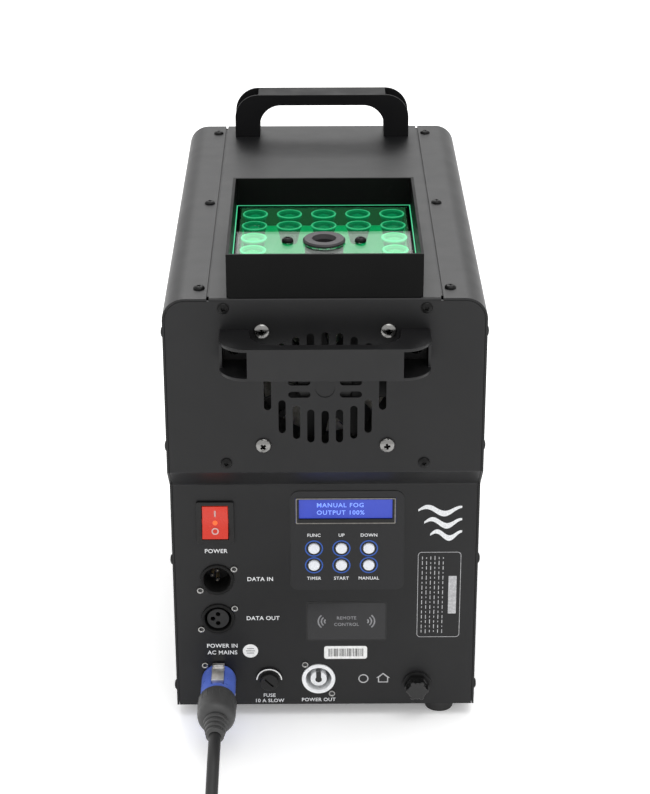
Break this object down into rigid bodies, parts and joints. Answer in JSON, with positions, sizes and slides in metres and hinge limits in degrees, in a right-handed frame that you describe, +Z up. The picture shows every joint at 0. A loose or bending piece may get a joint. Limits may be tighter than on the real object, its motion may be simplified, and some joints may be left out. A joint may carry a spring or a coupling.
{
  "type": "fog machine",
  "caption": "Upright black fog machine with a lit jet window under a square hood, two pull handles and a control panel with a locking mains plug.",
  "frame": {"origin": "on the table under the middle of the machine, the mains lead left out", "axes": "+Z up, the control panel faces -Y, +X to the panel's right"},
  "size_m": [0.2164, 0.6369, 0.3641],
  "materials": {
    "case_paint": "satin powder coat",
    "handle_paint": "satin powder coat",
    "hood_paint": "satin paint",
    "clear_pane": "clear",
    "lens_plastic": "clear moulded",
    "lamp_board": "solder mask",
    "nozzle_metal": "dark machined",
    "black_screw": "black oxide",
    "bright_steel": "nickel plated",
    "zinc_sheet": "zinc plated",
    "cast_aluminium": "as cast",
    "insulation": "fibre mat",
    "pump_metal": "satin",
    "hose_silicone": "translucent",
    "tank_plastic": "translucent",
    "black_plastic": "fine grain",
    "gloss_black": "polished",
    "overlay_film": "printed film",
    "display_blue": "lit",
    "circuit_board": "solder mask",
    "rocker_red": "lit translucent",
    "button_white": "fine",
    "socket_black": "black nickel",
    "outlet_grey": "fine",
    "plug_blue": "fine",
    "latch_metal": "worn nickel",
    "fuse_glass": "clear",
    "boot_rubber": "matte",
    "lead_rubber": "matte",
    "foot_rubber": "matte"
  },
  "bodies": {
    "case": {"base_tray": "case_paint", "case_screws": "black_screw", "circuit_boards": "circuit_board", "control_overlay": "overlay_film", "data_in_socket": "socket_black", "data_out_insert": "socket_black", "data_out_socket": "socket_black", "display_frame": "black_plastic", "display_module": "display_blue", "drain_spigot": "black_plastic", "fan_frame": "black_plastic", "fan_screws": "bright_steel", "feet": "foot_rubber", "fluid_tank": "tank_plastic", "fog_pipe": "bright_steel", "front_handle": "handle_paint", "front_top_panel": "case_paint", "fuse_holder": "black_plastic", "handle_screws": "bright_steel", "heater_bench": "zinc_sheet", "heater_block": "cast_aluminium", "heater_jacket": "insulation", "hood_frame": "hood_paint", "lamp_board": "lamp_board", "lamp_lenses": "lens_plastic", "lamp_tray": "zinc_sheet", "mains_coil": "lead_rubber", "mains_inlet": "plug_blue", "mains_lead": "lead_rubber", "mains_outlet": "outlet_grey", "nozzle_ring": "nozzle_metal", "nozzle_screws": "black_screw", "outlet_core": "outlet_grey", "plug_body": "plug_blue", "plug_nut": "boot_rubber", "pressure_hose": "hose_silicone", "pump_body": "pump_metal", "rear_handle": "handle_paint", "rear_panel": "case_paint", "rocker_housing": "black_plastic", "side_covers": "case_paint", "socket_screws": "bright_steel", "suction_hose": "hose_silicone", "thermostat": "bright_steel", "wall_plug": "boot_rubber", "window_pane": "clear_pane"},
    "rocker": {"rocker_key": "rocker_red"},
    "fan": {"fan_rotor": "black_plastic"},
    "fuse_carrier": {"fuse_link": "fuse_glass"},
    "fuse_cap": {"fuse_cap": "black_plastic"},
    "drain_cap": {"drain_cap": "gloss_black"},
    "tank_cap": {"tank_cap": "black_plastic"},
    "pump_piston": {"pump_piston": "bright_steel"},
    "plug_latch": {"plug_latch": "latch_metal"},
    "lower_button_left": {"lower_button_left": "button_white"},
    "lower_button_middle": {"lower_button_middle": "button_white"},
    "lower_button_right": {"lower_button_right": "button_white"},
    "upper_button_left": {"upper_button_left": "button_white"},
    "upper_button_middle": {"upper_button_middle": "button_white"},
    "upper_button_right": {"upper_button_right": "button_white"}
  },
  "joints": [
    {"name": "power_rocker", "type": "hinge", "parent": "case", "child": "rocker", "pos_m": [-0.0756, -0.151, 0.1574], "axis": [1, 0, 0], "range_deg": [0, 22]},
    {"name": "fan_spin", "type": "hinge", "parent": "case", "child": "fan", "pos_m": [0, -0.16, 0.2663], "axis": [0, 1, 0], "continuous": true},
    {"name": "fuse_pull", "type": "slide", "parent": "case", "child": "fuse_carrier", "axis": [0, -1, 0], "range_m": [0, 0.03]},
    {"name": "fuse_cap_turn", "type": "hinge", "parent": "fuse_carrier", "child": "fuse_cap", "pos_m": [-0.04, -0.152, 0.0306], "axis": [0, -1, 0], "range_deg": [-90, 0]},
    {"name": "drain_cap_turn", "type": "hinge", "parent": "case", "child": "drain_cap", "pos_m": [0.065, -0.156, 0.0265], "axis": [0, -1, 0], "range_deg": [0, 360]},
    {"name": "tank_cap_turn", "type": "hinge", "parent": "case", "child": "tank_cap", "pos_m": [0, 0.128, 0.21], "axis": [0, 0, 1], "range_deg": [0, 360]},
    {"name": "pump_stroke", "type": "slide", "parent": "case", "child": "pump_piston", "axis": [0, 1, 0], "range_m": [-0.002, 0.002], "stiffness_N_per_m": 400},
    {"name": "plug_latch_pull", "type": "slide", "parent": "case", "child": "plug_latch", "axis": [0, -1, 0], "range_m": [0, 0.003], "stiffness_N_per_m": 300, "springref_m": -0.002},
    {"name": "lower_button_left_press", "type": "slide", "parent": "case", "child": "lower_button_left", "axis": [0, 1, 0], "range_m": [0, 0.0008], "stiffness_N_per_m": 300, "springref_m": -0.001},
    {"name": "lower_button_middle_press", "type": "slide", "parent": "case", "child": "lower_button_middle", "axis": [0, 1, 0], "range_m": [0, 0.0008], "stiffness_N_per_m": 300, "springref_m": -0.001},
    {"name": "lower_button_right_press", "type": "slide", "parent": "case", "child": "lower_button_right", "axis": [0, 1, 0], "range_m": [0, 0.0008], "stiffness_N_per_m": 300, "springref_m": -0.001},
    {"name": "upper_button_left_press", "type": "slide", "parent": "case", "child": "upper_button_left", "axis": [0, 1, 0], "range_m": [0, 0.0008], "stiffness_N_per_m": 300, "springref_m": -0.001},
    {"name": "upper_button_middle_press", "type": "slide", "parent": "case", "child": "upper_button_middle", "axis": [0, 1, 0], "range_m": [0, 0.0008], "stiffness_N_per_m": 300, "springref_m": -0.001},
    {"name": "upper_button_right_press", "type": "slide", "parent": "case", "child": "upper_button_right", "axis": [0, 1, 0], "range_m": [0, 0.0008], "stiffness_N_per_m": 300, "springref_m": -0.001}
  ]
}
